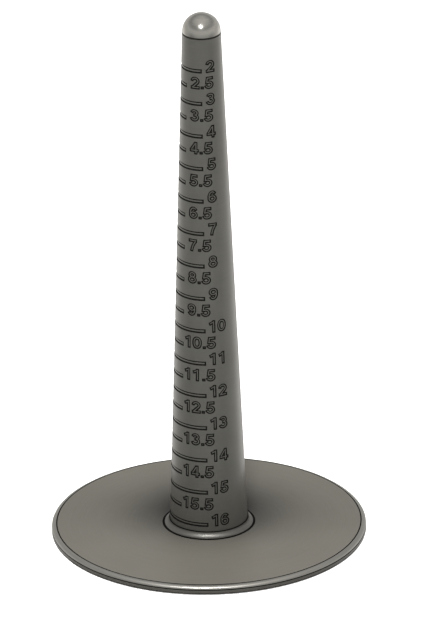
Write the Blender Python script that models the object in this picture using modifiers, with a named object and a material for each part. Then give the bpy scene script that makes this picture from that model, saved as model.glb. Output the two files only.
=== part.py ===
# A bench ring mandrel: a graduated steel taper that stands on a round base plate.
# Rings are dropped over the taper, and the line that a ring stops at gives its size.
# Metres, +Z up, origin under the middle of the base. The scale faces -Y.

import math

import bmesh
import bpy

mm = 0.001
gap = 0.3 * mm  # clearance left between two pieces that touch

# Ring scale: inside diameter = bore_at_zero + bore_per_size * size, the US ring sizes.
bore_at_zero = 11.63 * mm
bore_per_size = 0.8128 * mm
smallest_size = 2
largest_size = 16
size_spacing = 11.13 * mm  # along the axis, from one whole size to the next
first_line_height = 4.2 * mm  # size 16, above the base plate
line_width = 1.0 * mm
line_depth = 0.5 * mm
scale_middle_angle = -90  # degrees round from the front (-Y) towards +X
whole_size_arc = 180
half_size_arc = 90

# Base plate
plate_radius = 50.35 * mm
plate_thickness = 2.73 * mm
plate_rim_rounding = 1.3 * mm
plate_lower_chamfer = 0.2 * mm
plate_sides = 80

# Ring of rubber let into the underside, a little proud of the steel
pad_outer_radius = 45 * mm
pad_inner_radius = 33 * mm
pad_thickness = 1.0 * mm
pad_stands_proud = 0.4 * mm

# Shank and nose
shank_height = 170.9 * mm  # base plate to the seam under the nose
shank_sides = 64
socket_radius = 2.8 * mm
socket_depth = 8.3 * mm

# Foot ring: a coved collar pressed on the foot of the shank
foot_outer_radius = 14.47 * mm
foot_height = 2.0 * mm
foot_land = 0.12 * mm
cove_steps = 7

# M4 countersunk socket screw, up through the plate into the shank
screw_radius = 2.0 * mm
screw_length = 16 * mm
screw_head_radius = 3.9 * mm
screw_head_sunk = 0.1 * mm
hex_key_size = 2.5 * mm
hex_key_depth = 1.4 * mm

# Two dowels that stop the shank turning on the plate
pin_radius = 1.5 * mm
pin_circle_radius = 7.6 * mm
pin_in_shank = 5.0 * mm
pin_sunk = 0.3 * mm

plate_bottom = pad_stands_proud
plate_top = plate_bottom + plate_thickness
size_slope = bore_per_size / 2 / size_spacing
line_16_height = plate_top + first_line_height
seam_height = plate_top + shank_height


def ring_radius(size):
    return (bore_at_zero + bore_per_size * size) / 2


def line_height(size):
    return line_16_height + (largest_size - size) * size_spacing


def taper_radius(height):
    return ring_radius(largest_size) - size_slope * (height - line_16_height)


def clear_scene():
    for old in list(bpy.data.objects):
        bpy.data.objects.remove(old)


def new_collection(name):
    collection = bpy.data.collections.new(name)
    bpy.context.scene.collection.children.link(collection)
    return collection


def metal(name, colour, roughness, metallic=1.0):
    material = bpy.data.materials.new(name)
    material.use_nodes = True
    shader = material.node_tree.nodes["Principled BSDF"]
    shader.inputs["Base Color"].default_value = (*colour, 1.0)
    shader.inputs["Roughness"].default_value = roughness
    shader.inputs["Metallic"].default_value = metallic
    return material


def add_object(name, mesh, collection, material=None):
    made = bpy.data.objects.new(name, mesh)
    collection.objects.link(made)
    if material:
        made.data.materials.append(material)
    return made


def arc(centre, radius, start, end, steps):
    # Points (radius, height) along an arc, angles in degrees.
    angles = [math.radians(start + (end - start) * i / steps) for i in range(steps + 1)]
    return [(centre[0] + radius * math.cos(a), centre[1] + radius * math.sin(a)) for a in angles]


def turned(name, profile, sides, collection, material=None, closed=False):
    # A turned piece: the profile runs down its outer side, and the Screw modifier turns it.
    mesh = bpy.data.meshes.new(name)
    count = len(profile)
    edges = [(i, i + 1) for i in range(count - 1)]
    if closed:
        edges.append((count - 1, 0))
    mesh.from_pydata([(r, 0, z) for r, z in profile], edges, [])
    made = add_object(name, mesh, collection, material)
    screw = made.modifiers.new("turn", "SCREW")
    screw.steps = sides
    screw.render_steps = sides
    screw.use_merge_vertices = True
    screw.merge_threshold = 0.00001
    screw.use_normal_calculate = True
    return made


def cylinder(name, radius, low, high, sides, at, collection, material=None):
    bpy.ops.mesh.primitive_cylinder_add(
        vertices=sides, radius=radius, depth=high - low, location=(*at, (low + high) / 2)
    )
    made = bpy.context.object
    made.name = name
    for holder in list(made.users_collection):
        holder.objects.unlink(made)
    collection.objects.link(made)
    if material:
        made.data.materials.append(material)
    return made


def cut(piece, cutter, name):
    boolean = piece.modifiers.new(name, "BOOLEAN")
    boolean.operation = "DIFFERENCE"
    boolean.solver = "EXACT"
    boolean.object = cutter
    cutter.display_type = "WIRE"
    cutter.hide_render = True


def apply_modifiers(piece):
    graph = bpy.context.evaluated_depsgraph_get()
    mesh = bpy.data.meshes.new_from_object(piece.evaluated_get(graph))
    shape = bmesh.new()
    shape.from_mesh(mesh)
    bmesh.ops.recalc_face_normals(shape, faces=shape.faces)
    shape.to_mesh(mesh)
    shape.free()
    piece.modifiers.clear()
    piece.data = mesh


def shade_round(piece, angle=35):
    bpy.ops.object.select_all(action="DESELECT")
    piece.select_set(True)
    bpy.context.view_layer.objects.active = piece
    piece.data.shade_smooth()
    piece.data.set_sharp_from_angle(angle=math.radians(angle))


def pin_places():
    return {
        "locating_pin_left": (-pin_circle_radius, 0),
        "locating_pin_right": (pin_circle_radius, 0),
    }


def line_outline(size):
    # Flat C-shaped outline of one graduation, seen from above, as (x, y) points.
    whole = size == int(size)
    arc_degrees = whole_size_arc if whole else half_size_arc
    first = scale_middle_angle - arc_degrees / 2
    steps = round(shank_sides * arc_degrees / 360)
    inner = ring_radius(size) - line_depth
    outer = ring_radius(size) + 2 * line_depth
    angles = [math.radians(first + arc_degrees * i / steps) for i in range(steps + 1)]
    points = [(inner * math.sin(a), -inner * math.cos(a)) for a in angles]
    points += [(outer * math.sin(a), -outer * math.cos(a)) for a in reversed(angles)]
    return points


def make_line_cutter(cutters):
    # One cutter mesh that holds the C-shaped plates of every whole and half size.
    curve = bpy.data.curves.new("graduation_lines", "CURVE")
    curve.dimensions = "2D"
    curve.fill_mode = "BOTH"
    curve.extrude = line_width / 2
    flat = bpy.data.objects.new("graduation_line", curve)
    cutters.objects.link(flat)
    joined = bmesh.new()
    half_sizes = range(2 * smallest_size, 2 * largest_size + 1)
    for size in (half / 2 for half in half_sizes):
        points = line_outline(size)
        curve.splines.clear()
        spline = curve.splines.new("POLY")
        spline.points.add(len(points) - 1)
        for point, (x, y) in zip(spline.points, points):
            point.co = (x, y, 0, 1)
        spline.use_cyclic_u = True
        bpy.context.view_layer.update()
        graph = bpy.context.evaluated_depsgraph_get()
        plate = bpy.data.meshes.new_from_object(flat.evaluated_get(graph))
        for vertex in plate.vertices:
            vertex.co.z += line_height(size)
        joined.from_mesh(plate)
    bmesh.ops.remove_doubles(joined, verts=joined.verts, dist=0.00001)
    bmesh.ops.recalc_face_normals(joined, faces=joined.faces)
    mesh = bpy.data.meshes.new("graduation_cutter")
    joined.to_mesh(mesh)
    joined.free()
    bpy.data.objects.remove(flat)
    return add_object("graduation_cutter", mesh, cutters)


def make_base_plate(parts, cutters):
    steel = metal("base_steel", (0.20, 0.195, 0.185), 0.42)
    rim_centre = plate_radius - plate_rim_rounding
    head_clearance = screw_head_radius + screw_head_sunk + gap * math.sqrt(2)
    hole_radius = screw_radius + gap * math.sqrt(2)
    recess_outer = pad_outer_radius + gap
    recess_inner = pad_inner_radius - gap
    recess_top = pad_thickness + gap
    profile = [(hole_radius, plate_top)]
    profile += arc((rim_centre, plate_top - plate_rim_rounding), plate_rim_rounding, 90, 0, 5)
    profile += [
        (plate_radius, plate_bottom + plate_lower_chamfer),
        (plate_radius - plate_lower_chamfer, plate_bottom),
        (recess_outer, plate_bottom),
        (recess_outer, recess_top),
        (recess_inner, recess_top),
        (recess_inner, plate_bottom),
        (head_clearance, plate_bottom),
        (hole_radius, plate_bottom + head_clearance - hole_radius),
    ]
    plate = turned("base_plate", profile, plate_sides, parts, steel, closed=True)
    for name, place in pin_places().items():
        hole = cylinder(name + "_plate_hole", pin_radius + gap, -5 * mm, 10 * mm, 20, place, cutters)
        cut(plate, hole, name)
    apply_modifiers(plate)
    shade_round(plate)


def make_pad(parts):
    rubber = metal("pad_rubber", (0.03, 0.03, 0.03), 0.8, 0.0)
    profile = [
        (pad_inner_radius, pad_thickness),
        (pad_outer_radius, pad_thickness),
        (pad_outer_radius, 0),
        (pad_inner_radius, 0),
    ]
    pad = turned("non_slip_pad", profile, plate_sides, parts, rubber, closed=True)
    apply_modifiers(pad)
    shade_round(pad)


def make_foot_ring(parts):
    steel = metal("foot_steel", (0.26, 0.255, 0.24), 0.3)
    top = plate_top + foot_height
    bottom = plate_top + gap
    inner = taper_radius(bottom) + gap
    cove_radius = foot_outer_radius - inner - foot_land
    cove_middle = (foot_outer_radius, bottom + foot_land + cove_radius)
    profile = [(inner, top)]
    profile += arc(cove_middle, cove_radius, 180, 270, cove_steps)
    profile += [(foot_outer_radius, bottom), (inner, bottom)]
    ring = turned("foot_ring", profile, shank_sides, parts, steel, closed=True)
    apply_modifiers(ring)
    shade_round(ring)


def make_shank(parts, cutters):
    steel = metal("shank_steel", (0.17, 0.17, 0.16), 0.36)
    top = seam_height - gap / 2
    bottom = plate_top + gap
    tapped_radius = screw_radius + gap
    tapped_top = plate_bottom + screw_head_sunk + screw_length + gap
    profile = [
        (0, top - socket_depth),
        (socket_radius, top - socket_depth),
        (socket_radius, top),
        (taper_radius(top), top),
        (taper_radius(bottom), bottom),
        (tapped_radius, bottom),
        (tapped_radius, tapped_top),
        (0, tapped_top + tapped_radius / 2),
    ]
    shank = turned("mandrel_shank", profile, shank_sides, parts, steel)
    for name, place in pin_places().items():
        hole_top = plate_top + pin_in_shank + 2 * gap
        hole = cylinder(name + "_shank_hole", pin_radius + gap, 0, hole_top, 20, place, cutters)
        cut(shank, hole, name)
    cut(shank, make_line_cutter(cutters), "graduations")
    apply_modifiers(shank)
    shade_round(shank, 25)


def make_nose(parts):
    steel = metal("nose_steel", (0.42, 0.42, 0.40), 0.16)
    bottom = seam_height + gap / 2
    nose_radius = taper_radius(bottom)
    spigot_radius = socket_radius - gap
    spigot_end = seam_height - gap / 2 - socket_depth + gap
    profile = arc((0, bottom), nose_radius, 90, 0, 10)
    profile[0] = (0, bottom + nose_radius)
    profile += [(spigot_radius, bottom), (spigot_radius, spigot_end), (0, spigot_end)]
    nose = turned("nose_cap", profile, 48, parts, steel)
    apply_modifiers(nose)
    shade_round(nose)


def make_screw(parts, cutters):
    steel = metal("screw_steel", (0.12, 0.12, 0.12), 0.35)
    bottom = plate_bottom + screw_head_sunk
    head_height = screw_head_radius - screw_radius
    top = bottom + screw_length
    profile = [
        (0, top),
        (screw_radius - 0.3 * mm, top),
        (screw_radius, top - 0.3 * mm),
        (screw_radius, bottom + head_height),
        (screw_head_radius, bottom),
        (0, bottom),
    ]
    screw = turned("centre_screw", profile, 32, parts, steel)
    hex_radius = hex_key_size / math.sqrt(3)
    key = cylinder("hex_key", hex_radius, -5 * mm, bottom + hex_key_depth, 6, (0, 0), cutters)
    cut(screw, key, "hex_socket")
    apply_modifiers(screw)
    shade_round(screw)


def make_pins(parts):
    steel = metal("pin_steel", (0.35, 0.35, 0.34), 0.3)
    low = plate_bottom + pin_sunk
    high = plate_top + pin_in_shank
    for name, place in pin_places().items():
        pin = cylinder(name, pin_radius, low, high, 20, place, parts, steel)
        bevel = pin.modifiers.new("chamfer", "BEVEL")
        bevel.width = 0.25 * mm
        bevel.segments = 1
        bevel.limit_method = "ANGLE"
        apply_modifiers(pin)
        shade_round(pin)


def make_mandrel():
    clear_scene()
    parts = new_collection("ring_mandrel")
    cutters = new_collection("cutters")
    make_base_plate(parts, cutters)
    make_pad(parts)
    make_foot_ring(parts)
    make_shank(parts, cutters)
    make_nose(parts)
    make_screw(parts, cutters)
    make_pins(parts)
    cutters.hide_render = True


make_mandrel()
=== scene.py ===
# Looks for the bench ring mandrel: a graduated steel taper that stands on a round base plate.
# Metres, +Z up. Long lines end at the front (-Y), with the whole-size numbers to their right.

import math

import bmesh
import bpy
from mathutils import Euler, Matrix, Vector


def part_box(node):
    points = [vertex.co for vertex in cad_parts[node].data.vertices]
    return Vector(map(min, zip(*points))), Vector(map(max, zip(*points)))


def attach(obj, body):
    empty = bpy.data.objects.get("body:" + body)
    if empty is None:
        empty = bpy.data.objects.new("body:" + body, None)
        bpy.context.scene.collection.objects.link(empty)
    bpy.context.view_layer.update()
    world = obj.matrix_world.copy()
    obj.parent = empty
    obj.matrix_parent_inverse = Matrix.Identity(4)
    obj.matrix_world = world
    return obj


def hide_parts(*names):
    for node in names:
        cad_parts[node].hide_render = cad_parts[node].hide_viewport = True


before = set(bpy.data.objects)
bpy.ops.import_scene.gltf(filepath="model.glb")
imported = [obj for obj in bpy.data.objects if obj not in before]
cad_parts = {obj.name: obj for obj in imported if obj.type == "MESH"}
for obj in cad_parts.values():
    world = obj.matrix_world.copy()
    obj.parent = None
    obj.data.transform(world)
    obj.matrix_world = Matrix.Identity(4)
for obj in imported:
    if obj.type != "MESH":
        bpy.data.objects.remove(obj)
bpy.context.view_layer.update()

mm = 0.001
weld = 0.002 * mm  # points nearer than this are one point
sharpAngle = math.radians(30)
enlarge = Matrix.Scale(1 / mm, 4)  # Booleans on fine engraving are steadier in millimetres
reduce = Matrix.Scale(mm, 4)

# where the frame says things are
plateLow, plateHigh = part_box("base_plate")
padLow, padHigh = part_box("non_slip_pad")
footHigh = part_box("foot_ring")[1]
shankLow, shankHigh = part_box("mandrel_shank")
noseLow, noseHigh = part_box("nose_cap")
screwLow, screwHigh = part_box("centre_screw")

noseRadius = noseHigh.x
noseBottom = noseHigh.z - noseRadius  # the dome is half a sphere
shankBottom = shankLow.z
shankTop = shankHigh.z
shankRadius = shankHigh.x
taperSlope = (shankRadius - noseRadius) / (noseBottom - shankBottom)


def taperRadius(height):
    return shankRadius - taperSlope * (height - shankBottom)


# the size scale
scale = {
    "smallest": 2,
    "largest": 16,
    "boreAtZero": 11.63 * mm,  # US ring sizes: bore = boreAtZero + borePerSize * size
    "borePerSize": 0.8128 * mm,
    "middleAngle": -90.0,  # degrees round from the front towards +X
    "longArc": 180.0,
    "shortArc": 90.0,
    "mouthWidth": 1.38 * mm,
    "floorWidth": 0.46 * mm,
    "depth": 0.18 * mm,
    "rise": 0.1 * mm,  # how far the cutter stands out of the surface
    "arcSteps": 64,
}


def ringRadius(size):
    return (scale["boreAtZero"] + scale["borePerSize"] * size) / 2


def lineHeight(size):
    return shankBottom + (shankRadius - ringRadius(size)) / taperSlope


def linkPiece(name, mesh, materials):
    piece = bpy.data.objects.new(name, mesh)
    bpy.context.scene.collection.objects.link(piece)
    for material in materials:
        piece.data.materials.append(material)
    return piece


def arcPoints(centre, radius, start, end, steps):
    # (radius, height) points along an arc, angles in degrees
    angles = [math.radians(start + (end - start) * i / steps) for i in range(steps + 1)]
    return [(centre[0] + radius * math.cos(a), centre[1] + radius * math.sin(a)) for a in angles]


def turn(name, profile, sides, materials, closed=False):
    # Spins a profile about Z. A point is (radius, height) or (radius, height, finish), and the
    # finish is that of the stretch which ends there.
    points = [(*point, 0)[:3] for point in profile]
    pairs = list(zip(points, points[1:]))
    if closed:
        pairs.append((points[-1], points[0]))
    shape = bmesh.new()
    verts = {point: shape.verts.new((point[0], 0, point[1])) for point in points}
    edges = [shape.edges.new((verts[a], verts[b])) for a, b in pairs]
    bmesh.ops.spin(
        shape, geom=list(verts.values()) + edges, cent=(0, 0, 0), axis=(0, 0, 1),
        angle=2 * math.pi, steps=sides, use_merge=True,
    )
    bmesh.ops.remove_doubles(shape, verts=shape.verts, dist=weld)
    bmesh.ops.recalc_face_normals(shape, faces=shape.faces)
    stretches = [((a[0] + b[0]) / 2, (a[1] + b[1]) / 2, b[2]) for a, b in pairs]
    for face in shape.faces:
        radii = [math.hypot(vert.co.x, vert.co.y) for vert in face.verts]
        heights = [vert.co.z for vert in face.verts]
        middle = ((min(radii) + max(radii)) / 2, (min(heights) + max(heights)) / 2)
        face.material_index = min(stretches, key=lambda one: math.dist(one[:2], middle))[2]
        face.smooth = True
    mesh = bpy.data.meshes.new(name)
    shape.to_mesh(mesh)
    shape.free()
    mesh.set_sharp_from_angle(angle=sharpAngle)
    return linkPiece(name, mesh, materials)


def bakeModifiers(piece):
    graph = bpy.context.evaluated_depsgraph_get()
    mesh = bpy.data.meshes.new_from_object(piece.evaluated_get(graph))
    piece.modifiers.clear()
    old = piece.data
    piece.data = mesh
    bpy.data.meshes.remove(old)


def dissolveSlivers(piece, reach):
    # Clears the triangles without area that a Boolean leaves, and pairs folded onto each other.
    shape = bmesh.new()
    shape.from_mesh(piece.data)
    bmesh.ops.remove_doubles(shape, verts=shape.verts, dist=reach)
    bmesh.ops.triangulate(shape, faces=shape.faces)
    bmesh.ops.dissolve_degenerate(shape, edges=shape.edges, dist=reach)
    bmesh.ops.triangulate(shape, faces=shape.faces)
    sameCorners = {}
    for face in shape.faces:
        sameCorners.setdefault(frozenset(face.verts), []).append(face)
    folds = [face for faces in sameCorners.values() if len(faces) > 1 for face in faces]
    bmesh.ops.delete(shape, geom=folds, context="FACES")
    shape.to_mesh(piece.data)
    shape.free()
    print(piece.name, "cut, folded faces taken off:", len(folds))


def keepPiece(piece, node):
    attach(piece, "root")
    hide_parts(node)


def addNode(tree, kind, **settings):
    node = tree.nodes.new(kind)
    for key, value in settings.items():
        setattr(node, key, value)
    return node


def mathNode(tree, operation, first, second=None):
    node = addNode(tree, "ShaderNodeMath", operation=operation)
    for socket, value in zip(node.inputs, (first, second)):
        if value is None:
            continue
        if isinstance(value, (int, float)):
            socket.default_value = value
        else:
            tree.links.new(value, socket)
    return node.outputs[0]


def mapNode(tree, value, fromLow, fromHigh, toLow=0.0, toHigh=1.0):
    node = addNode(tree, "ShaderNodeMapRange")
    for socket, number in zip(node.inputs[1:5], (fromLow, fromHigh, toLow, toHigh)):
        socket.default_value = number
    tree.links.new(value, node.inputs[0])
    return node.outputs[0]


def mixColours(tree, factor, first, second):
    node = addNode(tree, "ShaderNodeMix", data_type="RGBA")
    for socket, colour in zip(node.inputs[6:8], (first, second)):
        if isinstance(colour, tuple):
            socket.default_value = (*colour, 1)
        else:
            tree.links.new(colour, socket)
    tree.links.new(factor, node.inputs[0])
    return node.outputs[2]


def distanceNode(tree, across, deep):
    squares = [mathNode(tree, "MULTIPLY", side, side) for side in (across, deep)]
    return mathNode(tree, "SQRT", mathNode(tree, "ADD", *squares))


steelPattern = {
    "ringDetail": 3.0,
    "ringRoughness": 0.65,
    "cloudDetail": 5.0,
    "ringShare": 0.45,  # of the mixed pattern; the clouds make the rest
    "stainFrom": 0.4,  # the stain's colour fades in between these values of the mixed pattern
    "stainTo": 0.68,
    "polishFrom": 0.35,
    "polishTo": 0.65,
}


def turnedSteel(name, look):
    # Turned or ground steel: fine rings round the axis, faint clouds, uneven polish.
    material = bpy.data.materials.new(name)
    material.use_nodes = True
    tree = material.node_tree
    shader = tree.nodes["Principled BSDF"]
    shader.inputs["Metallic"].default_value = look["metallic"]
    place = addNode(tree, "ShaderNodeTexCoord").outputs["Object"]
    apart = addNode(tree, "ShaderNodeSeparateXYZ")
    tree.links.new(place, apart.inputs[0])
    across, deep, high = apart.outputs
    fromAxis = distanceNode(tree, across, deep)
    # rings: very fine along the axis or the radius, long round the piece
    along = high if look["rings"] == "height" else fromAxis
    stretched = addNode(tree, "ShaderNodeCombineXYZ")
    for i, value in enumerate((across, deep)):
        tree.links.new(mathNode(tree, "MULTIPLY", value, look["ringBreak"]), stretched.inputs[i])
    tree.links.new(mathNode(tree, "DIVIDE", along, look["ringPitch"]), stretched.inputs[2])
    rings = addNode(tree, "ShaderNodeTexNoise")
    rings.inputs["Scale"].default_value = 1.0
    rings.inputs["Detail"].default_value = steelPattern["ringDetail"]
    rings.inputs["Roughness"].default_value = steelPattern["ringRoughness"]
    tree.links.new(stretched.outputs[0], rings.inputs["Vector"])
    clouds = addNode(tree, "ShaderNodeTexNoise")
    clouds.inputs["Scale"].default_value = look["cloudScale"]
    clouds.inputs["Detail"].default_value = steelPattern["cloudDetail"]
    tree.links.new(place, clouds.inputs["Vector"])
    share = steelPattern["ringShare"]
    blend = mathNode(
        tree, "ADD", mathNode(tree, "MULTIPLY", rings.outputs["Fac"], share),
        mathNode(tree, "MULTIPLY", clouds.outputs["Fac"], 1 - share),
    )
    stained = mapNode(tree, blend, steelPattern["stainFrom"], steelPattern["stainTo"])
    colour = mixColours(tree, stained, look["colour"], look["stain"])
    shader.inputs["Specular IOR Level"].default_value = look["gloss"]
    if "shade" in look:
        # painted shade: a soft dark patch round a point behind the axis, standing in for the shadow the
        # shank throws on the plate
        shade = look["shade"]
        behind = mathNode(tree, "SUBTRACT", deep, shade["behind"])
        fade = mapNode(tree, distanceNode(tree, across, behind), shade["far"], shade["near"])
        paintedShade = mathNode(tree, "MULTIPLY", mathNode(tree, "POWER", fade, shade["power"]), shade["amount"])
        colour = mixColours(tree, paintedShade, colour, shade["colour"])
    tree.links.new(colour, shader.inputs["Base Color"])
    polish = mapNode(
        tree, blend, steelPattern["polishFrom"], steelPattern["polishTo"],
        look["roughness"] - look["roughnessSpread"], look["roughness"] + look["roughnessSpread"],
    )
    tree.links.new(polish, shader.inputs["Roughness"])
    bump = addNode(tree, "ShaderNodeBump")
    bump.inputs["Strength"].default_value = look["ringStrength"]
    bump.inputs["Distance"].default_value = look["ringDepth"]
    tree.links.new(rings.outputs["Fac"], bump.inputs["Height"])
    tree.links.new(bump.outputs[0], shader.inputs["Normal"])
    return material


grainPattern = {"detail": 5.0, "dullFrom": 0.3, "dullTo": 0.7, "strength": 0.5}


def grainyMaterial(name, look):
    # A dull material with a fine grain in its colour, gloss and surface.
    material = bpy.data.materials.new(name)
    material.use_nodes = True
    tree = material.node_tree
    shader = tree.nodes["Principled BSDF"]
    shader.inputs["Metallic"].default_value = 0.0
    shader.inputs["Specular IOR Level"].default_value = look["specular"]
    place = addNode(tree, "ShaderNodeTexCoord").outputs["Object"]
    noise = addNode(tree, "ShaderNodeTexNoise")
    noise.inputs["Scale"].default_value = look["grainScale"]
    noise.inputs["Detail"].default_value = grainPattern["detail"]
    tree.links.new(place, noise.inputs["Vector"])
    grain = noise.outputs["Fac"]
    tree.links.new(mixColours(tree, grain, look["dark"], look["light"]), shader.inputs["Base Color"])
    dull = mapNode(tree, grain, grainPattern["dullFrom"], grainPattern["dullTo"], *look["roughness"])
    tree.links.new(dull, shader.inputs["Roughness"])
    bump = addNode(tree, "ShaderNodeBump")
    bump.inputs["Strength"].default_value = grainPattern["strength"]
    bump.inputs["Distance"].default_value = look["grainDepth"]
    tree.links.new(grain, bump.inputs["Height"])
    tree.links.new(bump.outputs[0], shader.inputs["Normal"])
    return material


# ringBreak says how quickly a ring changes on its way round, and stain is the colour of the clouds
shankSteel = turnedSteel("shankSteel", {
    "metallic": 0.6, "colour": (0.088, 0.087, 0.078), "stain": (0.076, 0.075, 0.067), "gloss": 0.5,
    "rings": "height", "ringPitch": 0.18 * mm, "ringBreak": 120.0, "cloudScale": 90.0,
    "roughness": 0.3, "roughnessSpread": 0.02, "ringStrength": 0.03, "ringDepth": 0.01 * mm,
})
plateSteel = turnedSteel("plateSteel", {
    "metallic": 0.0, "colour": (0.078, 0.0736, 0.0634), "stain": (0.0734, 0.0692, 0.0596), "gloss": 0.15,
    "rings": "radius", "ringPitch": 0.22 * mm, "ringBreak": 60.0, "cloudScale": 45.0,
    "roughness": 0.5, "roughnessSpread": 0.05, "ringStrength": 0.1, "ringDepth": 0.01 * mm,
    # painted shade: a dark patch on the plate round the shank's foot, standing in for the shank's shadow
    "shade": {
        "behind": 10 * mm, "near": 12 * mm, "far": 42 * mm, "power": 2.2, "amount": 0.92,
        "colour": (0.001, 0.001, 0.001),
    },
})
# the plate's upright wall: a darker copy of the plate steel, whose darker colour is painted shade
wallSteel = turnedSteel("wallSteel", {
    "metallic": 0.3, "colour": (0.05, 0.048, 0.042), "stain": (0.043, 0.041, 0.036), "gloss": 0.3,
    "rings": "height", "ringPitch": 0.1 * mm, "ringBreak": 90.0, "cloudScale": 60.0,
    "roughness": 0.45, "roughnessSpread": 0.05, "ringStrength": 0.1, "ringDepth": 0.006 * mm,
})
rimSteel = turnedSteel("rimSteel", {
    "metallic": 1.0, "colour": (0.3, 0.295, 0.274), "stain": (0.27, 0.265, 0.246), "gloss": 0.5,
    "rings": "height", "ringPitch": 0.1 * mm, "ringBreak": 90.0, "cloudScale": 60.0,
    "roughness": 0.42, "roughnessSpread": 0.03, "ringStrength": 0.05, "ringDepth": 0.006 * mm,
})
footSteel = turnedSteel("footSteel", {
    "metallic": 1.0, "colour": (0.15, 0.147, 0.137), "stain": (0.13, 0.127, 0.118), "gloss": 0.5,
    "rings": "radius", "ringPitch": 0.15 * mm, "ringBreak": 90.0, "cloudScale": 120.0,
    "roughness": 0.48, "roughnessSpread": 0.03, "ringStrength": 0.05, "ringDepth": 0.006 * mm,
})
noseSteel = turnedSteel("noseSteel", {
    "metallic": 1.0, "colour": (0.35, 0.345, 0.32), "stain": (0.3, 0.295, 0.275), "gloss": 0.5,
    "rings": "height", "ringPitch": 0.2 * mm, "ringBreak": 200.0, "cloudScale": 220.0,
    "roughness": 0.17, "roughnessSpread": 0.02, "ringStrength": 0.04, "ringDepth": 0.004 * mm,
})
pinSteel = turnedSteel("pinSteel", {
    "metallic": 1.0, "colour": (0.4, 0.4, 0.39), "stain": (0.32, 0.32, 0.31), "gloss": 0.5,
    "rings": "height", "ringPitch": 0.1 * mm, "ringBreak": 300.0, "cloudScale": 300.0,
    "roughness": 0.28, "roughnessSpread": 0.05, "ringStrength": 0.1, "ringDepth": 0.005 * mm,
})
screwSteel = turnedSteel("screwSteel", {
    "metallic": 1.0, "colour": (0.05, 0.05, 0.052), "stain": (0.03, 0.03, 0.03), "gloss": 0.5,
    "rings": "radius", "ringPitch": 0.12 * mm, "ringBreak": 300.0, "cloudScale": 400.0,
    "roughness": 0.38, "roughnessSpread": 0.08, "ringStrength": 0.2, "ringDepth": 0.01 * mm,
})
oxide = grainyMaterial("darkOxide", {
    "dark": (0.001, 0.001, 0.001), "light": (0.005, 0.005, 0.0045), "grainScale": 3500.0,
    "roughness": (0.7, 0.9), "specular": 0.02, "grainDepth": 0.004 * mm,
})
rubber = grainyMaterial("padRubber", {
    "dark": (0.018, 0.018, 0.018), "light": (0.05, 0.05, 0.048), "grainScale": 2500.0,
    "roughness": (0.65, 0.95), "specular": 0.5, "grainDepth": 0.05 * mm,
})
print("finishes made")


def socketId(tree, name):
    return next(item.identifier for item in tree.interface.items_tree if item.name == name)


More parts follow.
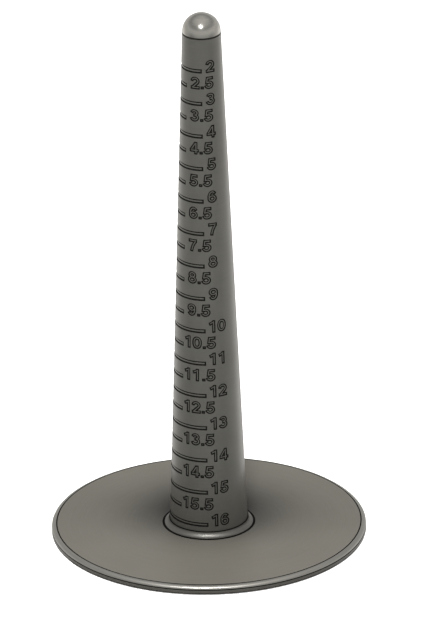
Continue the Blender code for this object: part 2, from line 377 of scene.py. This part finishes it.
def makeLineTree():
    # One long block for each line, bent round the taper. Its walls slope in to a narrower floor.
    tree = bpy.data.node_groups.new("graduationLines", "GeometryNodeTree")
    tree.interface.new_socket("Geometry", in_out="INPUT", socket_type="NodeSocketGeometry")
    tree.interface.new_socket("Geometry", in_out="OUTPUT", socket_type="NodeSocketGeometry")
    for name, kind in (
        ("Line Count", "Int"), ("Arc Steps", "Int"), ("Top Height", "Float"),
        ("Line Spacing", "Float"), ("Top Radius", "Float"), ("Radius Growth", "Float"),
        ("Taper", "Float"), ("Middle Angle", "Float"), ("Long Arc", "Float"),
        ("Short Arc", "Float"), ("Mouth Width", "Float"), ("Floor Width", "Float"),
        ("Depth", "Float"), ("Rise", "Float"), ("Wall Finish", "Material"),
        ("Floor Finish", "Material"),
    ):
        tree.interface.new_socket(name, in_out="INPUT", socket_type="NodeSocket" + kind)
    given = tree.nodes.new("NodeGroupInput").outputs
    link = tree.links.new

    def mathOf(operation, first, second=0.0):
        node = tree.nodes.new("ShaderNodeMath")
        node.operation = operation
        for socket, item in zip(node.inputs, (first, second)):
            if isinstance(item, (int, float)):
                socket.default_value = item
            else:
                link(item, socket)
        return node.outputs[0]

    def keepValue(geometry, domain, kind, value):
        # stores a value on the geometry as it is now, and returns both
        keep = tree.nodes.new("GeometryNodeCaptureAttribute")
        keep.domain = domain
        keep.capture_items.new(kind, "kept")
        link(geometry, keep.inputs[0])
        link(value, keep.inputs[1])
        return keep.outputs[0], keep.outputs[1]

    # a unit block: x runs along the line, y across it and z out of the steel
    block = tree.nodes.new("GeometryNodeMeshCube")
    block.inputs["Size"].default_value = (1, 1, 1)
    link(mathOf("ADD", given["Arc Steps"], 1), block.inputs["Vertices X"])
    facing = tree.nodes.new("ShaderNodeSeparateXYZ")
    link(tree.nodes.new("GeometryNodeInputNormal").outputs[0], facing.inputs[0])
    block, isFloor = keepValue(
        block.outputs[0], "FACE", "BOOLEAN", mathOf("LESS_THAN", facing.outputs["Z"], -0.5)
    )
    lines = tree.nodes.new("GeometryNodeMeshLine")
    lines.inputs["Offset"].default_value = (0, 0, 0)
    link(given["Line Count"], lines.inputs["Count"])
    lines, number = keepValue(
        lines.outputs[0], "POINT", "INT", tree.nodes.new("GeometryNodeInputIndex").outputs[0]
    )
    placed = tree.nodes.new("GeometryNodeInstanceOnPoints")
    link(lines, placed.inputs["Points"])
    link(block, placed.inputs["Instance"])
    real = tree.nodes.new("GeometryNodeRealizeInstances")
    link(placed.outputs[0], real.inputs[0])

    spot = tree.nodes.new("ShaderNodeSeparateXYZ")
    link(tree.nodes.new("GeometryNodeInputPosition").outputs[0], spot.inputs[0])
    surface = mathOf("ADD", given["Top Radius"], mathOf("MULTIPLY", number, given["Radius Growth"]))
    cutterHeight = mathOf("ADD", given["Depth"], given["Rise"])
    out = mathOf("MULTIPLY", mathOf("ADD", spot.outputs["Z"], 0.5), cutterHeight)
    out = mathOf("SUBTRACT", out, given["Depth"])
    wallWidth = mathOf("MULTIPLY", mathOf("SUBTRACT", given["Mouth Width"], given["Floor Width"]), 0.5)
    spread = mathOf("MULTIPLY", out, mathOf("DIVIDE", wallWidth, given["Depth"]))
    halfWidth = mathOf("ADD", mathOf("MULTIPLY", given["Mouth Width"], 0.5), spread)
    across = mathOf("MULTIPLY", mathOf("MULTIPLY", spot.outputs["Y"], 2), halfWidth)
    isHalf = mathOf("MODULO", number, 2)
    shorter = mathOf("SUBTRACT", given["Short Arc"], given["Long Arc"])
    arc = mathOf("ADD", given["Long Arc"], mathOf("MULTIPLY", isHalf, shorter))
    arc = mathOf("ADD", arc, mathOf("DIVIDE", mathOf("MULTIPLY", spread, 2), surface))
    angle = mathOf("ADD", given["Middle Angle"], mathOf("MULTIPLY", spot.outputs["X"], arc))
    radius = mathOf("ADD", surface, out)
    radius = mathOf("SUBTRACT", radius, mathOf("MULTIPLY", across, given["Taper"]))
    height = mathOf("SUBTRACT", given["Top Height"], mathOf("MULTIPLY", number, given["Line Spacing"]))
    bent = tree.nodes.new("ShaderNodeCombineXYZ")
    link(mathOf("MULTIPLY", radius, mathOf("COSINE", angle)), bent.inputs[0])
    link(mathOf("MULTIPLY", radius, mathOf("SINE", angle)), bent.inputs[1])
    link(mathOf("ADD", height, across), bent.inputs[2])
    moved = tree.nodes.new("GeometryNodeSetPosition")
    link(real.outputs[0], moved.inputs["Geometry"])
    link(bent.outputs[0], moved.inputs["Position"])

    walls = tree.nodes.new("GeometryNodeSetMaterial")
    link(moved.outputs[0], walls.inputs["Geometry"])
    link(given["Wall Finish"], walls.inputs["Material"])
    floors = tree.nodes.new("GeometryNodeSetMaterial")
    link(walls.outputs[0], floors.inputs["Geometry"])
    link(isFloor, floors.inputs["Selection"])
    link(given["Floor Finish"], floors.inputs["Material"])
    link(floors.outputs[0], tree.nodes.new("NodeGroupOutput").inputs[0])
    return tree


def makeLineCutter():
    tree = makeLineTree()
    carrier = linkPiece("lineCutter", bpy.data.meshes.new("lineCutter"), [])
    modifier = carrier.modifiers.new("lines", "NODES")
    modifier.node_group = tree
    sizeSpacing = lineHeight(scale["smallest"]) - lineHeight(scale["smallest"] + 1)
    for name, setting in (
        ("Line Count", 2 * (scale["largest"] - scale["smallest"]) + 1),
        ("Arc Steps", scale["arcSteps"]), ("Top Height", lineHeight(scale["smallest"])),
        ("Line Spacing", sizeSpacing / 2), ("Top Radius", ringRadius(scale["smallest"])),
        ("Radius Growth", scale["borePerSize"] / 4), ("Taper", taperSlope),
        ("Middle Angle", math.radians(scale["middleAngle"] - 90)),
        ("Long Arc", math.radians(scale["longArc"])),
        ("Short Arc", math.radians(scale["shortArc"])), ("Mouth Width", scale["mouthWidth"]),
        ("Floor Width", scale["floorWidth"]), ("Depth", scale["depth"]), ("Rise", scale["rise"]),
        ("Wall Finish", oxide), ("Floor Finish", shankSteel),
    ):
        modifier[socketId(tree, name)] = setting
    bakeModifiers(carrier)
    return carrier


# Numbers: each figure is drawn by the strokes of an engraving cutter, in units of its height.
figures = {
    "height": 3.9 * mm,
    "stroke": 0.195,  # width of a stroke, from edge to edge
    "widen": 1.07,
    "advance": 0.79,
    "pointAdvance": 0.405,
    "oneIndent": 0.1,  # the 1 starts this far into its own width
    "bevel": 0.23 * mm,  # the blackened wall slopes this far to each side of a stroke's edge
    "depth": 0.12 * mm,
    "lip": 0.015 * mm,  # height of the wall's upper edge over the surface
    "rise": 0.12 * mm,  # how far the cutter stands out of the surface
    "hair": 0.002 * mm,  # how much deeper each later stroke of a figure goes
    "sharpestMitre": 0.5,
    "wholeGaps": (1.3 * mm, 1.3 * mm),  # from a line's end, for numbers under 10 and over
    "halfGaps": (1.6 * mm, 0.9 * mm),
}


def bow(centreX, centreY, halfWidth, halfHeight, start, end, steps=22, square=2.0):
    # Points on an oval stroke, angles in degrees; square above 2 fills out its corners.
    points = []
    for i in range(steps + 1):
        a = math.radians(start + (end - start) * i / steps)
        c, s = math.cos(a), math.sin(a)
        points.append((
            centreX + halfWidth * math.copysign(abs(c) ** (2 / square), c),
            centreY + halfHeight * math.copysign(abs(s) ** (2 / square), s),
        ))
    return points


def ring(centreX, centreY, halfWidth, halfHeight, square=2.0):
    return bow(centreX, centreY, halfWidth, halfHeight, 0, 360, 32, square)[:-1]


def straight(start, end, steps=1):
    return [
        (start[0] + (end[0] - start[0]) * i / steps, start[1] + (end[1] - start[1]) * i / steps)
        for i in range(steps + 1)
    ]


def figureStrokes(figure):
    # (closed, points) for each stroke of a figure
    if figure == "0":
        return [(True, ring(0.35, 0.5, 0.2525, 0.4025, 2.3))]
    if figure == "1":
        return [
            (False, straight((0.42, 0.0), (0.42, 1.0), 2)),
            (False, [(0.09, 0.735), (0.2, 0.775), (0.31, 0.84), (0.4, 0.915)]),
        ]
    if figure == "2":
        return [
            (False, bow(0.345, 0.66, 0.245, 0.2425, 172, -32) + [(0.19, 0.16), (0.13, 0.08)]),
            (False, straight((0.03, 0.0975), (0.69, 0.0975), 4)),
        ]
    if figure == "3":
        return [
            (False, bow(0.335, 0.715, 0.215, 0.1875, 162, -95)),
            (False, bow(0.335, 0.32, 0.2525, 0.2225, 100, -165)),
        ]
    if figure == "4":
        return [
            (False, straight((0.5, 0.0), (0.5, 1.0), 2)),
            (False, straight((0.02, 0.285), (0.71, 0.285), 4)),
            (False, straight((0.47, 0.93), (0.105, 0.335), 3)),
        ]
    if figure == "5":
        return [
            (False, straight((0.14, 0.9025), (0.65, 0.9025), 3)),
            (False, straight((0.215, 0.95), (0.15, 0.43), 2)),
            (False, bow(0.335, 0.325, 0.2575, 0.23, 135, -166)),
        ]
    if figure == "6":
        return [
            (True, ring(0.36, 0.325, 0.2475, 0.2275)),
            (False, bow(0.375, 0.5, 0.2625, 0.4025, 198, 38)),
        ]
    if figure == "7":
        curve = [
            (0.61 * (1 - t) ** 2 + 2 * 0.34 * t * (1 - t) + 0.27 * t * t,
             0.86 * (1 - t) ** 2 + 2 * 0.53 * t * (1 - t))
            for t in (i / 8 for i in range(9))
        ]
        return [(False, straight((0.04, 0.9025), (0.68, 0.9025), 4)), (False, curve)]
    if figure == "8":
        return [
            (True, ring(0.35, 0.7175, 0.205, 0.185)),
            (True, ring(0.35, 0.3125, 0.2525, 0.215)),
        ]
    if figure == "9":
        return [
            (closed, [(0.7 - x, 1.0 - y) for x, y in points])
            for closed, points in figureStrokes("6")
        ]
    return [(False, straight((0.18, 0.03), (0.18, 0.17)))]  # the point


def addStroke(shape, points, closed, order):
    # A groove's section swept along a flat stroke: x along, y up, z out of the surface, in metres.
    # Each later stroke is a hair deeper, so that no two have faces in one plane.
    path = [Vector((x * figures["widen"], y)) * figures["height"] for x, y in points]
    count = len(path)
    bevel = figures["bevel"]
    mouth = figures["stroke"] * figures["height"] / 2 + bevel
    floor = mouth - 2 * bevel
    hair = order * figures["hair"]
    low, lip, high = -figures["depth"] - hair, figures["lip"] + hair, figures["rise"] + hair
    section = (
        (-floor, low, -bevel), (floor, low, -bevel), (mouth, lip, bevel),
        (mouth, high, bevel), (-mouth, high, bevel), (-mouth, lip, bevel),
    )
    loops = []
    for i, here in enumerate(path):
        before = path[i - 1] if closed or i else here
        after = path[(i + 1) % count] if closed or i < count - 1 else here
        incoming = (here - before).normalized() if before != here else (after - here).normalized()
        outgoing = (after - here).normalized() if after != here else incoming
        run = (incoming + outgoing).normalized()
        mitre = 1 / max(run.dot(outgoing), figures["sharpestMitre"])
        across = Vector((-run.y, run.x)) * mitre
        end = 0 if closed else (i == count - 1) - (i == 0)
        loops.append([
            shape.verts.new((*(here + across * side + run * end * past), out))
            for side, out, past in section
        ])
    pairs = list(zip(loops, loops[1:]))
    if closed:
        pairs.append((loops[-1], loops[0]))
    for first, second in pairs:
        for i in range(len(section)):
            j = (i + 1) % len(section)
            face = shape.faces.new((first[i], first[j], second[j], second[i]))
            face.material_index = int(i == 0)
    if not closed:
        for end in (loops[0], loops[-1]):
            shape.faces.new((end[0], end[1], end[2], end[5]))  # the sloping end of the groove
            shape.faces.new(end[2:])


def makeFigure(figure):
    # One figure as a flat cutter. Its strokes overlap, which the Boolean allows for.
    shape = bmesh.new()
    for order, (closed, points) in enumerate(figureStrokes(figure)):
        addStroke(shape, points, closed, order)
    bmesh.ops.triangulate(shape, faces=shape.faces)
    bmesh.ops.recalc_face_normals(shape, faces=shape.faces)
    mesh = bpy.data.meshes.new("figure" + figure)
    shape.to_mesh(mesh)
    shape.free()
    return mesh


def labelText(size):
    return str(int(size)) if size == int(size) else str(size)


def labelStart(size, text):
    # where a number starts, as a distance along the surface from the front
    whole = size == int(size)
    arc = scale["longArc" if whole else "shortArc"]
    lineEnd = math.radians(scale["middleAngle"] + arc / 2) * taperRadius(lineHeight(size))
    gap = figures["wholeGaps" if whole else "halfGaps"][size >= 10]
    indent = figures["oneIndent"] * figures["height"] if text[0] == "1" else 0
    return lineEnd + gap - indent


def makeLabelCutter():
    # Every number wrapped round the taper, in one mesh.
    meshes = {c: makeFigure(c) for c in "0123456789."}
    lineEdge = (scale["mouthWidth"] + scale["floorWidth"]) / 4  # the middle of a line's lower wall
    joined = bmesh.new()
    for half in range(2 * scale["smallest"], 2 * scale["largest"] + 1):
        size = half / 2
        text = labelText(size)
        pen = labelStart(size, text)
        base = lineHeight(size) - lineEdge
        aroundRadius = taperRadius(lineHeight(size))
        for figure in text:
            start = len(joined.verts)
            joined.from_mesh(meshes[figure])
            joined.verts.ensure_lookup_table()
            for vertex in joined.verts[start:]:
                along, up, out = vertex.co
                angle = (pen + along) / aroundRadius
                height = base + up
                radius = taperRadius(height) + out
                vertex.co = (radius * math.sin(angle), -radius * math.cos(angle), height)
            pen += figures["pointAdvance" if figure == "." else "advance"] * figures["height"]
    mesh = bpy.data.meshes.new("labelCutter")
    joined.to_mesh(mesh)
    joined.free()
    return linkPiece("labelCutter", mesh, [oxide, shankSteel])


shank = {
    "sides": 256,
    "edge": 0.1 * mm,  # chamfer at both ends
    "socketRadius": 2.8 * mm,
    "socketDepth": 8.0 * mm,
    "tappedRadius": 2.2 * mm,
    "tappedDepth": 13.6 * mm,
    "sliver": 0.001 * mm,  # what the engraving leaves smaller than this is dissolved
    "sharpAngle": math.radians(24),
    "even": 0.01 * mm,  # a face this near to the cone or to a groove's floor gets even normals
}


def cutFrom(piece, cutter, overlaps=False):
    boolean = piece.modifiers.new("engrave", "BOOLEAN")
    boolean.operation = "DIFFERENCE"
    boolean.solver = "EXACT"
    boolean.use_self = overlaps
    boolean.material_mode = "TRANSFER"
    boolean.object = cutter


def smoothTaper(mesh):
    # Gives the taper and the floors of its grooves the even normals of a true cone.
    lean = math.atan(taperSlope)
    levels = {0, scale["depth"], figures["depth"]}
    normals = [Vector(corner.vector) for corner in mesh.corner_normals]
    for face in mesh.polygons:
        spots = [mesh.vertices[index].co for index in face.vertices]
        depths = [taperRadius(spot.z) - math.hypot(spot.x, spot.y) for spot in spots]
        if not any(all(abs(depth - level) < shank["even"] for depth in depths) for level in levels):
            continue
        for corner, spot in zip(face.loop_indices, spots):
            flat = Vector((spot.x, spot.y, 0)).normalized() * math.cos(lean)
            normals[corner] = flat + Vector((0, 0, math.sin(lean)))
    mesh.normals_split_custom_set(normals)


def makeShank():
    edge = shank["edge"]
    profile = [
        (0, shankTop - shank["socketDepth"]),
        (shank["socketRadius"], shankTop - shank["socketDepth"]),
        (shank["socketRadius"], shankTop),
        (taperRadius(shankTop) - edge, shankTop),
        (taperRadius(shankTop - edge), shankTop - edge, 1),
        (taperRadius(shankBottom + edge), shankBottom + edge),
        (shankRadius - edge, shankBottom),
        (shank["tappedRadius"], shankBottom),
        (shank["tappedRadius"], shankBottom + shank["tappedDepth"]),
        (0, shankBottom + shank["tappedDepth"] + shank["tappedRadius"] / 2),
    ]
    piece = turn("shankBody", profile, shank["sides"], [shankSteel, oxide])
    cutters = [makeLineCutter(), makeLabelCutter()]
    for body in [piece] + cutters:
        body.data.transform(enlarge)
    cutFrom(piece, cutters[0])
    cutFrom(piece, cutters[1], overlaps=True)
    bakeModifiers(piece)
    dissolveSlivers(piece, shank["sliver"] / mm)
    piece.data.transform(reduce)
    for cutter in cutters:
        bpy.data.objects.remove(cutter)
    piece.data.set_sharp_from_angle(angle=shank["sharpAngle"])
    smoothTaper(piece.data)
    keepPiece(piece, "mandrel_shank")
    print("shank engraved:", len(piece.data.polygons), "faces")


plate = {
    "sides": 256,
    "rimSteps": 16,
    "rimWidth": 1.4 * mm,  # the rounded rim, in plan
    "rimHeight": 1.05 * mm,
    "scribeWidth": 0.42 * mm,  # the dark line round the top face
    "scribeDepth": 0.12 * mm,
    "scribeSlope": 0.2,  # share of its width that each side slopes over
    "rimStep": 0.05 * mm,  # the rounded rim starts this much lower than the top face
    "wallLine": 0.36 * mm,  # the dark line under the rounding
    "rebate": 0.36 * mm,  # height of the dark step round the bottom edge, whose dark finish is painted shadow under the plate
    "rebateDepth": 0.1 * mm,
    "footLine": 0.4 * mm,  # the dark line round the foot ring
    "footLineSlope": 0.3,
    "recessInner": 32.85 * mm,
    "recessSlack": 0.1 * mm,  # room round the pad
    "holeRadius": 2.25 * mm,
    "headRadius": 4.3 * mm,
}


def makePlate():
    radius, top, bottom = plateHigh.x, plateHigh.z, plateLow.z
    rim = plate["rimWidth"]
    scribe, deep, slope = plate["scribeWidth"], plate["scribeDepth"], plate["scribeSlope"]
    wallLine, rebate = plate["wallLine"], plate["rebate"]
    rimTop = top - plate["rimStep"]
    wallTop = top - plate["rimHeight"]
    footEdge = footHigh.x
    footLine = plate["footLine"]
    recessTop = padHigh.z + plate["recessSlack"]
    recessOuter = padHigh.x + plate["recessSlack"]
    squash = (rimTop - wallTop) / rim
    plain, dark, bright, wall = 0, 1, 2, 3
    rounding = [
        (r, wallTop + (z - wallTop) * squash, bright)
        for r, z in arcPoints((radius - rim, wallTop), rim, 90, 0, plate["rimSteps"])
    ]
    # (radius, height, finish of the face that ends here)
    profile = [
        (plate["holeRadius"], top, dark),
        (footEdge - footLine / 2, top, plain),
        (footEdge - footLine / 2, top - deep, dark),
        (footEdge + footLine * (1 - plate["footLineSlope"]), top - deep, dark),
        (footEdge + footLine, top, dark),
        (radius - rim - scribe, top, plain),
        (radius - rim - scribe * (1 - slope), rimTop - deep, dark),
        (radius - rim - scribe * slope, rimTop - deep, dark),
        (radius - rim, rimTop, dark),
    ]
    profile += rounding[1:]
    profile += [
        (radius - deep, wallTop - wallLine / 2, dark),
        (radius, wallTop - wallLine, dark),
        # the upright wall, in the darker steel whose colour is painted shade
        (radius, bottom + rebate, wall),
        # the dark step round the bottom edge: a real step whose dark finish is painted shadow under the
        # plate
        (radius - plate["rebateDepth"], bottom + rebate, dark),
        (radius - plate["rebateDepth"], bottom, dark),
        (recessOuter, bottom, plain),
        (recessOuter, recessTop, dark),
        (plate["recessInner"], recessTop, dark),
        (plate["recessInner"], bottom, dark),
        (plate["headRadius"], bottom, plain),
        (plate["holeRadius"], bottom + plate["headRadius"] - plate["holeRadius"], plain),
    ]
    finishes = [plateSteel, oxide, rimSteel, wallSteel]
    piece = turn("plateBody", profile, plate["sides"], finishes, closed=True)
    keepPiece(piece, "base_plate")


foot = {
    "sides": 192,
    "steps": 16,
    "lip": 0.1 * mm,  # thickness of the cove's outer edge
    "sunk": 0.05 * mm,  # how far the ring is let into the plate
    "slack": 0.1 * mm,  # room between the ring and the shank
    "topEdge": 0.1 * mm,  # width of the ring's flat top
    "topDrop": 0.05 * mm,  # the flat top falls this much outwards
    "topBand": 0.36 * mm,  # dark band where the cove meets the shank
    "edgeBand": 0.3 * mm,  # dark band round the cove's outer edge
}


def makeFoot():
    bottom, top, outer = plateHigh.z - foot["sunk"], footHigh.z, footHigh.x
    band, topEdge = foot["topBand"], foot["topEdge"]
    inner = taperRadius(bottom) + foot["slack"]
    coveBottom = plateHigh.z + foot["lip"]
    coveTop = top - band / 2
    width = outer - inner - topEdge
    squash = (coveTop - coveBottom) / width
    curve = [
        (r, coveTop + (z - coveTop) * squash)
        for r, z in arcPoints((outer, coveTop), width, 180, 270, foot["steps"])
    ]
    profile = [(inner, top - band, 1), (inner, top, 1), (inner + topEdge, top - foot["topDrop"], 1)]
    edge = outer - foot["edgeBand"]
    profile += [(r, z, int(z > coveTop - band / 2 or r > edge)) for r, z in curve]
    profile += [(outer, bottom, 1), (inner, bottom, 1)]
    piece = turn("footCove", profile, foot["sides"], [footSteel, oxide], closed=True)
    keepPiece(piece, "foot_ring")


nose = {
    "sides": 192,
    "steps": 40,
    "edge": 0.16 * mm,  # the dark chamfer at the seam
    "spigotRadius": 2.6 * mm,
    "spigotChamfer": 0.3 * mm,
}


def makeNose():
    edge, spigot, chamfer = nose["edge"], nose["spigotRadius"], nose["spigotChamfer"]
    profile = arcPoints((0, noseBottom), noseRadius, 90, 0, nose["steps"])
    profile[0] = (0, noseBottom + noseRadius)
    profile[-1] = (noseRadius, noseBottom + edge)
    profile += [
        (noseRadius - edge, noseBottom, 1),
        (spigot, noseBottom, 1),
        (spigot, noseLow.z + chamfer),
        (spigot - chamfer, noseLow.z),
        (0, noseLow.z),
    ]
    piece = turn("noseDome", profile, nose["sides"], [noseSteel, oxide])
    keepPiece(piece, "nose_cap")


screw = {
    "sides": 64,
    "coreRadius": 1.75 * mm,
    "tipWidth": 0.4 * mm,  # the chamfer at the tip
    "tipHeight": 0.5 * mm,
    "rimFrom": 0.12 * mm,  # the head's rim, from the flat face up to where the cone starts
    "rimTo": 0.25 * mm,
    "rimStep": 0.15 * mm,
    "faceEdge": 0.1 * mm,
    "keyAcross": 2.5 * mm,  # across the flats of the hexagon socket
    "keyDepth": 1.6 * mm,
    "keyLength": 4.0 * mm,
    "sliver": 0.001 * mm,
}


def makeScrew():
    low, high = screwLow.z, screwHigh.z
    head, core = screwHigh.x, screw["coreRadius"]
    profile = [
        (0, high), (core - screw["tipWidth"], high), (core, high - screw["tipHeight"]),
        (core, low + head - core), (head - screw["rimStep"], low + screw["rimTo"]),
        (head, low + screw["rimFrom"]), (head - screw["faceEdge"], low), (0, low),
    ]
    piece = turn("screwBody", profile, screw["sides"], [screwSteel, oxide])
    keyMiddle = low + screw["keyDepth"] - screw["keyLength"] / 2
    bpy.ops.mesh.primitive_cylinder_add(
        vertices=6, radius=screw["keyAcross"] / math.sqrt(3), depth=screw["keyLength"],
        location=(0, 0, keyMiddle),
    )
    key = bpy.context.object
    key.data.materials.append(oxide)
    cutFrom(piece, key)
    bakeModifiers(piece)
    dissolveSlivers(piece, screw["sliver"])
    bpy.data.objects.remove(key)
    piece.data.set_sharp_from_angle(angle=sharpAngle)
    keepPiece(piece, "centre_screw")


pins = {"sides": 48, "steps": 4, "edge": 0.3 * mm}


def makePins():
    for node in ("locating_pin_left", "locating_pin_right"):
        low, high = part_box(node)
        middle = (low + high) / 2
        radius = (high.x - low.x) / 2
        edge = pins["edge"]
        profile = [(0, high.z)]
        profile += arcPoints((radius - edge, high.z - edge), edge, 90, 0, pins["steps"])
        profile += [(radius, low.z + edge), (radius - edge, low.z), (0, low.z)]
        piece = turn(node.replace("locating_pin_", "dowel"), profile, pins["sides"], [pinSteel])
        piece.data.transform(Matrix.Translation((middle.x, middle.y, 0)))
        keepPiece(piece, node)


pad = {
    "sides": 192,
    "inner": 33 * mm,
    "edge": 0.2 * mm,
    "steps": 4,
    "ribs": 6,
    "grooveDepth": 0.25 * mm,
    "ribShare": 0.62,  # of the pitch, and then where the groove's floor starts and ends
    "grooveFrom": 0.7,
    "grooveTo": 0.92,
}


def makePad():
    outer, inner, edge = padHigh.x, pad["inner"], pad["edge"]
    low, high = padLow.z, padHigh.z
    profile = [(inner, high), (outer, high)]
    profile += arcPoints((outer - edge, low + edge), edge, 0, -90, pad["steps"])
    pitch = (outer - inner - 2 * edge) / pad["ribs"]
    for i in range(pad["ribs"]):
        start = outer - edge - i * pitch
        if i:
            profile.append((start, low))
        profile += [
            (start - pitch * pad["ribShare"], low),
            (start - pitch * pad["grooveFrom"], low + pad["grooveDepth"]),
            (start - pitch * pad["grooveTo"], low + pad["grooveDepth"]),
        ]
    profile += arcPoints((inner + edge, low + edge), edge, -90, -180, pad["steps"])
    piece = turn("padRing", profile, pad["sides"], [rubber], closed=True)
    keepPiece(piece, "non_slip_pad")


makeShank()
makePlate()
makeFoot()
makeNose()
makeScrew()
makePins()
makePad()
print("pieces made")


paper = {"size": 12.0, "grey": 0.85, "roughness": 0.9, "glow": 0.35}

camera = {
    "elevation": 24.19,  # degrees
    "azimuth": 0.7,
    "roll": -0.87,
    "distance": 8.0,
    "metresHigh": 0.1993,  # what the frame takes in, top to bottom, at the object
    "aimRight": 2.16 * mm,
    "aimDown": 12.92 * mm,
    "aimHeight": 90.4 * mm,
    "sensor": 24.0,
    "farthest": 100.0,
}

# azimuth in degrees from the front towards +X; the steel doesn't mirror the softboxes
lights = {
    "keyLight": {
        "azimuth": -4, "elevation": 53, "distance": 1.2, "size": 0.13, "watts": 14, "mirrored": True,
    },
    "leftSoftbox": {
        "azimuth": -75, "elevation": 48, "distance": 1.6, "size": 1.2, "watts": 22, "mirrored": False,
    },
    "rightSoftbox": {
        "azimuth": 75, "elevation": 48, "distance": 1.6, "size": 1.2, "watts": 22, "mirrored": False,
    },
}

surround = {
    "byHeight": (  # (direction, brightness) pairs; what the polished steel mirrors
        (-1.0, 0.5), (-0.5, 0.65), (0.0, 0.74), (0.3, 0.8), (0.42, 0.64), (0.55, 0.47),
        (0.68, 0.52), (0.8, 0.72), (1.0, 0.95),
    ),
    "lowFrontToBack": (  # for directions under the level, which the upright taper mirrors
        (-1.0, 0.38), (-0.75, 0.32), (-0.5, 0.24), (-0.25, 0.35), (0.0, 0.48), (0.2, 0.56),
        (0.4, 0.72), (0.6, 0.98), (0.75, 0.8), (0.9, 0.5), (1.0, 0.4),
    ),
    "tint": (1.0, 0.985, 0.955),
    "lowStrength": 2.1,
    "lowFrom": 0.1,  # the front-to-back part fades in from this height down to the next
    "lowTo": -0.25,
    "leftToRight": 0.05,
    "strength": 1.15,
}


def makeFloor():
    bpy.ops.mesh.primitive_plane_add(size=paper["size"], location=(0, 0, padLow.z))
    floor = bpy.context.object
    floor.name = "floor"
    material = bpy.data.materials.new("paperFloor")
    material.use_nodes = True
    shader = material.node_tree.nodes["Principled BSDF"]
    shader.inputs["Base Color"].default_value = (paper["grey"], paper["grey"], paper["grey"], 1)
    shader.inputs["Roughness"].default_value = paper["roughness"]
    shader.inputs["Specular IOR Level"].default_value = 0.0
    shader.inputs["Emission Color"].default_value = (1, 1, 1, 1)
    shader.inputs["Emission Strength"].default_value = paper["glow"]
    floor.data.materials.append(material)
    floor.visible_glossy = False  # the steel mirrors the surround instead


def rampNode(tree, value, stops, tint=(1, 1, 1)):
    # stops: (place from -1 to 1, brightness)
    ramp = addNode(tree, "ShaderNodeValToRGB")
    elements = ramp.color_ramp.elements
    elements.remove(elements[1])
    for i, (place, level) in enumerate(stops):
        element = elements.new((place + 1) / 2) if i else elements[0]
        element.position = (place + 1) / 2
        element.color = [level * part for part in tint] + [1]
    tree.links.new(mapNode(tree, value, -1, 1), ramp.inputs[0])
    return ramp.outputs[0]


def makeSurround():
    world = bpy.data.worlds.new("surround")
    bpy.context.scene.world = world
    world.use_nodes = True
    tree = world.node_tree
    background = tree.nodes["Background"]
    apart = addNode(tree, "ShaderNodeSeparateXYZ")
    tree.links.new(addNode(tree, "ShaderNodeTexCoord").outputs["Generated"], apart.inputs[0])
    across, deep, high = apart.outputs
    colour = rampNode(tree, high, surround["byHeight"], surround["tint"])
    tree.links.new(colour, background.inputs[0])
    low = rampNode(tree, deep, surround["lowFrontToBack"])
    low = mathNode(tree, "SUBTRACT", mathNode(tree, "MULTIPLY", low, surround["lowStrength"]), 1.0)
    fade = mapNode(tree, high, surround["lowTo"], surround["lowFrom"], 1.0, 0.0)
    low = mathNode(tree, "MULTIPLY", low, fade)
    side = mathNode(tree, "MULTIPLY", across, surround["leftToRight"])
    level = mathNode(tree, "MULTIPLY", mathNode(tree, "ADD", side, 1.0), mathNode(tree, "ADD", low, 1.0))
    level = mathNode(tree, "MULTIPLY", level, surround["strength"])
    tree.links.new(level, background.inputs[1])


def makeLight(name, light):
    lamp = bpy.data.lights.new(name, "AREA")
    lamp.shape = "DISK"
    lamp.size = light["size"]
    lamp.energy = light["watts"]
    holder = bpy.data.objects.new(name, lamp)
    holder.visible_glossy = light["mirrored"]
    bpy.context.scene.collection.objects.link(holder)
    a, e = math.radians(light["azimuth"]), math.radians(light["elevation"])
    away = Vector((math.sin(a) * math.cos(e), -math.cos(a) * math.cos(e), math.sin(e)))
    holder.location = Vector((0, 0, camera["aimHeight"])) + away * light["distance"]
    holder.rotation_euler = away.to_track_quat("Z", "Y").to_euler()


def makeCamera():
    # A long lens far off. It looks at the object's middle, moved along the picture's own axes.
    data = bpy.data.cameras.new("camera")
    data.sensor_fit = "VERTICAL"
    data.sensor_height = camera["sensor"]
    data.lens = camera["sensor"] * camera["distance"] / camera["metresHigh"]
    data.clip_end = camera["farthest"]
    holder = bpy.data.objects.new("camera", data)
    bpy.context.scene.collection.objects.link(holder)
    turned = Euler((math.radians(90 - camera["elevation"]), 0, math.radians(camera["azimuth"])))
    facing = turned.to_matrix()
    right, up, back = facing.col
    aim = Vector((0, 0, camera["aimHeight"]))
    aim += right * camera["aimRight"] - up * camera["aimDown"]
    rolled = facing @ Matrix.Rotation(math.radians(camera["roll"]), 3, "Z")
    holder.matrix_world = Matrix.Translation(aim + back * camera["distance"]) @ rolled.to_4x4()
    bpy.context.scene.camera = holder


makeFloor()
makeSurround()
for lightName, light in lights.items():
    makeLight(lightName, light)
makeCamera()
bpy.context.scene.view_settings.view_transform = "Standard"
print("studio made")
